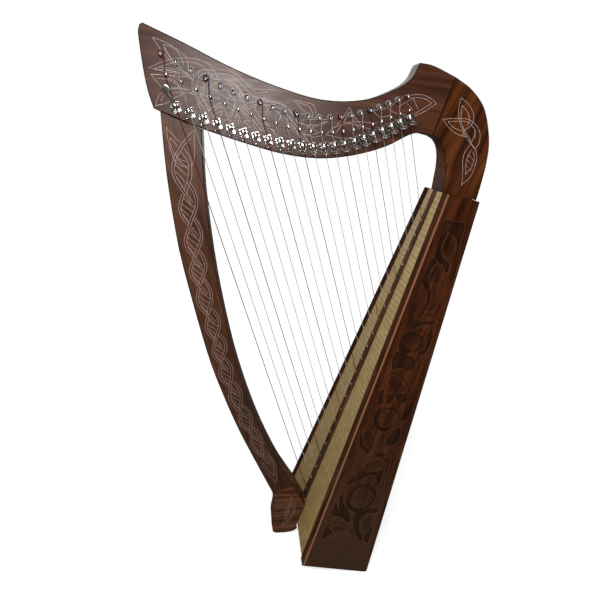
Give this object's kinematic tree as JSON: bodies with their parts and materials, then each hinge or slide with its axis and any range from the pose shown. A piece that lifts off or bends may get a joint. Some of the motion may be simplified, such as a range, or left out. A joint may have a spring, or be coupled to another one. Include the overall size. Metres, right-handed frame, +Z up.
{
  "type": "lever harp",
  "caption": "Small standing lever harp with a carved rosewood frame, tapered soundbox, nylon strings, turning tuning pins and flip-up sharping levers.",
  "frame": {"origin": "on the floor, under the middle of the harp's length and width, with the harp standing on its foot block and on the planed heel of its soundbox", "axes": "+X from the pillar towards the soundbox and the player, +Y from the side with the strings and levers towards the side with the tuning key squares, +Z up"},
  "size_m": [0.5506, 0.2536, 0.9295],
  "materials": {
    "neck_rosewood": "satin varnish",
    "shoulder_rosewood": "satin varnish",
    "pillar_rosewood": "satin varnish",
    "foot_rosewood": "satin varnish",
    "soundboard_birch": "satin varnish",
    "string_rib_wood": "satin varnish",
    "edge_strip_wood": "satin varnish",
    "side_panel_wood": "satin varnish",
    "back_panel_wood": "satin varnish",
    "base_panel_wood": "satin varnish",
    "inner_wood": "raw",
    "tuning_pin_steel": "polished",
    "lever_steel": "polished"
  },
  "bodies": {
    "harp_frame": {"neck": "neck_rosewood", "shoulder": "shoulder_rosewood", "pillar": "pillar_rosewood", "foot_block": "foot_rosewood", "soundboard": "soundboard_birch", "string_rib_with_strings": "string_rib_wood", "edge_strip_near": "edge_strip_wood", "edge_strip_far": "edge_strip_wood", "side_panel_near": "side_panel_wood", "side_panel_far": "side_panel_wood", "back_panel": "back_panel_wood", "base_panel": "base_panel_wood", "top_block": "inner_wood", "inner_string_rib": "inner_wood", "brace_lower": "inner_wood", "brace_upper": "inner_wood"},
    "pin_01": {"tuning_pin_01": "tuning_pin_steel"},
    "pin_02": {"tuning_pin_02": "tuning_pin_steel"},
    "pin_03": {"tuning_pin_03": "tuning_pin_steel"},
    "pin_04": {"tuning_pin_04": "tuning_pin_steel"},
    "pin_05": {"tuning_pin_05": "tuning_pin_steel"},
    "pin_06": {"tuning_pin_06": "tuning_pin_steel"},
    "pin_07": {"tuning_pin_07": "tuning_pin_steel"},
    "pin_08": {"tuning_pin_08": "tuning_pin_steel"},
    "pin_09": {"tuning_pin_09": "tuning_pin_steel"},
    "pin_10": {"tuning_pin_10": "tuning_pin_steel"},
    "pin_11": {"tuning_pin_11": "tuning_pin_steel"},
    "pin_12": {"tuning_pin_12": "tuning_pin_steel"},
    "pin_13": {"tuning_pin_13": "tuning_pin_steel"},
    "pin_14": {"tuning_pin_14": "tuning_pin_steel"},
    "pin_15": {"tuning_pin_15": "tuning_pin_steel"},
    "pin_16": {"tuning_pin_16": "tuning_pin_steel"},
    "pin_17": {"tuning_pin_17": "tuning_pin_steel"},
    "pin_18": {"tuning_pin_18": "tuning_pin_steel"},
    "pin_19": {"tuning_pin_19": "tuning_pin_steel"},
    "pin_20": {"tuning_pin_20": "tuning_pin_steel"},
    "pin_21": {"tuning_pin_21": "tuning_pin_steel"},
    "pin_22": {"tuning_pin_22": "tuning_pin_steel"},
    "sharping_lever_01": {"lever_01": "lever_steel"},
    "sharping_lever_02": {"lever_02": "lever_steel"},
    "sharping_lever_03": {"lever_03": "lever_steel"},
    "sharping_lever_04": {"lever_04": "lever_steel"},
    "sharping_lever_05": {"lever_05": "lever_steel"},
    "sharping_lever_06": {"lever_06": "lever_steel"},
    "sharping_lever_07": {"lever_07": "lever_steel"},
    "sharping_lever_08": {"lever_08": "lever_steel"},
    "sharping_lever_09": {"lever_09": "lever_steel"},
    "sharping_lever_10": {"lever_10": "lever_steel"},
    "sharping_lever_11": {"lever_11": "lever_steel"},
    "sharping_lever_12": {"lever_12": "lever_steel"},
    "sharping_lever_13": {"lever_13": "lever_steel"},
    "sharping_lever_14": {"lever_14": "lever_steel"},
    "sharping_lever_15": {"lever_15": "lever_steel"},
    "sharping_lever_16": {"lever_16": "lever_steel"},
    "sharping_lever_17": {"lever_17": "lever_steel"},
    "sharping_lever_18": {"lever_18": "lever_steel"},
    "sharping_lever_19": {"lever_19": "lever_steel"},
    "sharping_lever_20": {"lever_20": "lever_steel"},
    "sharping_lever_21": {"lever_21": "lever_steel"},
    "sharping_lever_22": {"lever_22": "lever_steel"}
  },
  "joints": [
    {"name": "tuning_pin_01_turn", "type": "hinge", "parent": "harp_frame", "child": "pin_01", "pos_m": [-0.24286, 0, 0.8897], "axis": [0, 1, 0], "continuous": true},
    {"name": "tuning_pin_02_turn", "type": "hinge", "parent": "harp_frame", "child": "pin_02", "pos_m": [-0.22184, 0, 0.87975], "axis": [0, 1, 0], "continuous": true},
    {"name": "tuning_pin_03_turn", "type": "hinge", "parent": "harp_frame", "child": "pin_03", "pos_m": [-0.20066, 0, 0.86965], "axis": [0, 1, 0], "continuous": true},
    {"name": "tuning_pin_04_turn", "type": "hinge", "parent": "harp_frame", "child": "pin_04", "pos_m": [-0.17957, 0, 0.85986], "axis": [0, 1, 0], "continuous": true},
    {"name": "tuning_pin_05_turn", "type": "hinge", "parent": "harp_frame", "child": "pin_05", "pos_m": [-0.1588, 0, 0.85093], "axis": [0, 1, 0], "continuous": true},
    {"name": "tuning_pin_06_turn", "type": "hinge", "parent": "harp_frame", "child": "pin_06", "pos_m": [-0.13856, 0, 0.84302], "axis": [0, 1, 0], "continuous": true},
    {"name": "tuning_pin_07_turn", "type": "hinge", "parent": "harp_frame", "child": "pin_07", "pos_m": [-0.1189, 0, 0.83593], "axis": [0, 1, 0], "continuous": true},
    {"name": "tuning_pin_08_turn", "type": "hinge", "parent": "harp_frame", "child": "pin_08", "pos_m": [-0.09962, 0, 0.82965], "axis": [0, 1, 0], "continuous": true},
    {"name": "tuning_pin_09_turn", "type": "hinge", "parent": "harp_frame", "child": "pin_09", "pos_m": [-0.08074, 0, 0.82423], "axis": [0, 1, 0], "continuous": true},
    {"name": "tuning_pin_10_turn", "type": "hinge", "parent": "harp_frame", "child": "pin_10", "pos_m": [-0.06226, 0, 0.81954], "axis": [0, 1, 0], "continuous": true},
    {"name": "tuning_pin_11_turn", "type": "hinge", "parent": "harp_frame", "child": "pin_11", "pos_m": [-0.04416, 0, 0.8156], "axis": [0, 1, 0], "continuous": true},
    {"name": "tuning_pin_12_turn", "type": "hinge", "parent": "harp_frame", "child": "pin_12", "pos_m": [-0.02637, 0, 0.81277], "axis": [0, 1, 0], "continuous": true},
    {"name": "tuning_pin_13_turn", "type": "hinge", "parent": "harp_frame", "child": "pin_13", "pos_m": [-0.00889, 0, 0.81146], "axis": [0, 1, 0], "continuous": true},
    {"name": "tuning_pin_14_turn", "type": "hinge", "parent": "harp_frame", "child": "pin_14", "pos_m": [0.00812, 0, 0.81185], "axis": [0, 1, 0], "continuous": true},
    {"name": "tuning_pin_15_turn", "type": "hinge", "parent": "harp_frame", "child": "pin_15", "pos_m": [0.02457, 0, 0.81378], "axis": [0, 1, 0], "continuous": true},
    {"name": "tuning_pin_16_turn", "type": "hinge", "parent": "harp_frame", "child": "pin_16", "pos_m": [0.04044, 0, 0.81688], "axis": [0, 1, 0], "continuous": true},
    {"name": "tuning_pin_17_turn", "type": "hinge", "parent": "harp_frame", "child": "pin_17", "pos_m": [0.05562, 0, 0.82065], "axis": [0, 1, 0], "continuous": true},
    {"name": "tuning_pin_18_turn", "type": "hinge", "parent": "harp_frame", "child": "pin_18", "pos_m": [0.07025, 0, 0.8252], "axis": [0, 1, 0], "continuous": true},
    {"name": "tuning_pin_19_turn", "type": "hinge", "parent": "harp_frame", "child": "pin_19", "pos_m": [0.08454, 0, 0.83045], "axis": [0, 1, 0], "continuous": true},
    {"name": "tuning_pin_20_turn", "type": "hinge", "parent": "harp_frame", "child": "pin_20", "pos_m": [0.09869, 0, 0.83603], "axis": [0, 1, 0], "continuous": true},
    {"name": "tuning_pin_21_turn", "type": "hinge", "parent": "harp_frame", "child": "pin_21", "pos_m": [0.11283, 0, 0.84171], "axis": [0, 1, 0], "continuous": true},
    {"name": "tuning_pin_22_turn", "type": "hinge", "parent": "harp_frame", "child": "pin_22", "pos_m": [0.12714, 0, 0.84725], "axis": [0, 1, 0], "continuous": true},
    {"name": "lever_01_flip", "type": "hinge", "parent": "harp_frame", "child": "sharping_lever_01", "pos_m": [-0.22535, -0.03458, 0.81955], "axis": [0.9535, 0, 0.3014], "range_deg": [0, 97]},
    {"name": "lever_02_flip", "type": "hinge", "parent": "harp_frame", "child": "sharping_lever_02", "pos_m": [-0.20499, -0.03457, 0.81224], "axis": [0.9539, 0, 0.3], "range_deg": [-97, 0]},
    {"name": "lever_03_flip", "type": "hinge", "parent": "harp_frame", "child": "sharping_lever_03", "pos_m": [-0.18449, -0.03455, 0.80474], "axis": [0.9545, 0, 0.2983], "range_deg": [-97, 0]},
    {"name": "lever_04_flip", "type": "hinge", "parent": "harp_frame", "child": "sharping_lever_04", "pos_m": [-0.16407, -0.03454, 0.79751], "axis": [0.9551, 0, 0.2964], "range_deg": [-97, 0]},
    {"name": "lever_05_flip", "type": "hinge", "parent": "harp_frame", "child": "sharping_lever_05", "pos_m": [-0.14394, -0.03453, 0.79105], "axis": [0.9557, 0, 0.2944], "range_deg": [-97, 0]},
    {"name": "lever_06_flip", "type": "hinge", "parent": "harp_frame", "child": "sharping_lever_06", "pos_m": [-0.12433, -0.03451, 0.78553], "axis": [0.9563, 0, 0.2925], "range_deg": [-97, 0]},
    {"name": "lever_07_flip", "type": "hinge", "parent": "harp_frame", "child": "sharping_lever_07", "pos_m": [-0.10526, -0.0345, 0.78076], "axis": [0.9568, 0, 0.2909], "range_deg": [-97, 0]},
    {"name": "lever_08_flip", "type": "hinge", "parent": "harp_frame", "child": "sharping_lever_08", "pos_m": [-0.08655, -0.03449, 0.77672], "axis": [0.9572, 0, 0.2893], "range_deg": [-97, 0]},
    {"name": "lever_09_flip", "type": "hinge", "parent": "harp_frame", "child": "sharping_lever_09", "pos_m": [-0.06822, -0.03447, 0.77346], "axis": [0.9577, 0, 0.2878], "range_deg": [-97, 0]},
    {"name": "lever_10_flip", "type": "hinge", "parent": "harp_frame", "child": "sharping_lever_10", "pos_m": [-0.05027, -0.03446, 0.77087], "axis": [0.9581, 0, 0.2864], "range_deg": [-97, 0]},
    {"name": "lever_11_flip", "type": "hinge", "parent": "harp_frame", "child": "sharping_lever_11", "pos_m": [-0.03267, -0.03445, 0.76894], "axis": [0.9585, 0, 0.2852], "range_deg": [-97, 0]},
    {"name": "lever_12_flip", "type": "hinge", "parent": "harp_frame", "child": "sharping_lever_12", "pos_m": [-0.01537, -0.03443, 0.76804], "axis": [0.9589, 0, 0.2838], "range_deg": [-97, 0]},
    {"name": "lever_13_flip", "type": "hinge", "parent": "harp_frame", "child": "sharping_lever_13", "pos_m": [0.00164, -0.03442, 0.76854], "axis": [0.9595, 0, 0.2818], "range_deg": [-97, 0]},
    {"name": "lever_14_flip", "type": "hinge", "parent": "harp_frame", "child": "sharping_lever_14", "pos_m": [0.0182, -0.03441, 0.77062], "axis": [0.9601, 0, 0.2796], "range_deg": [-97, 0]},
    {"name": "lever_15_flip", "type": "hinge", "parent": "harp_frame", "child": "sharping_lever_15", "pos_m": [0.03423, -0.03439, 0.77412], "axis": [0.9608, 0, 0.2772], "range_deg": [-97, 0]},
    {"name": "lever_16_flip", "type": "hinge", "parent": "harp_frame", "child": "sharping_lever_16", "pos_m": [0.04972, -0.03438, 0.7787], "axis": [0.9614, 0, 0.2753], "range_deg": [-97, 0]},
    {"name": "lever_17_flip", "type": "hinge", "parent": "harp_frame", "child": "sharping_lever_17", "pos_m": [0.06455, -0.03437, 0.78388], "axis": [0.9616, 0, 0.2746], "range_deg": [-97, 0]},
    {"name": "lever_18_flip", "type": "hinge", "parent": "harp_frame", "child": "sharping_lever_18", "pos_m": [0.07886, -0.03435, 0.78976], "axis": [0.9614, 0, 0.275], "range_deg": [-97, 0]},
    {"name": "lever_19_flip", "type": "hinge", "parent": "harp_frame", "child": "sharping_lever_19", "pos_m": [0.09286, -0.03434, 0.79627], "axis": [0.9612, 0, 0.276], "range_deg": [-97, 0]},
    {"name": "lever_20_flip", "type": "hinge", "parent": "harp_frame", "child": "sharping_lever_20", "pos_m": [0.10671, -0.03433, 0.80307], "axis": [0.9607, 0, 0.2774], "range_deg": [-97, 0]},
    {"name": "lever_21_flip", "type": "hinge", "parent": "harp_frame", "child": "sharping_lever_21", "pos_m": [0.12056, -0.03431, 0.80992], "axis": [0.9603, 0, 0.2791], "range_deg": [-97, 0]},
    {"name": "lever_22_flip", "type": "hinge", "parent": "harp_frame", "child": "sharping_lever_22", "pos_m": [0.13457, -0.0343, 0.81661], "axis": [0.9598, 0, 0.2806], "range_deg": [-97, 0]}
  ]
}
